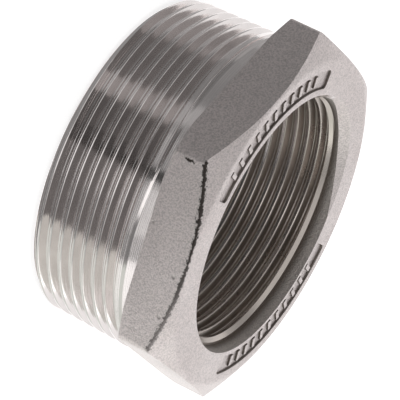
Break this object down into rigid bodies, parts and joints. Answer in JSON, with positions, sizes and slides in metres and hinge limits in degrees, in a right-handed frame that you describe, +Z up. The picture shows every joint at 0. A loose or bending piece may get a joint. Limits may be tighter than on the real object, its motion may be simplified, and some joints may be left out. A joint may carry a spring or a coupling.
{
  "type": "hexagon reducing bushing",
  "caption": "Cast hexagon pipe bushing with a tapered thread outside and a smaller parallel thread inside.",
  "frame": {"origin": "middle of the end ring of the tapered thread, on which the bushing stands", "axes": "+Z up the bore to the hexagon's face, +X through two opposite corners of the hexagon"},
  "size_m": [0.07, 0.061, 0.0302],
  "materials": {
    "cast_stainless": "blasted casting with turned threads"
  },
  "bodies": {
    "root": {"hex_bushing": "cast_stainless"}
  },
  "joints": []
}
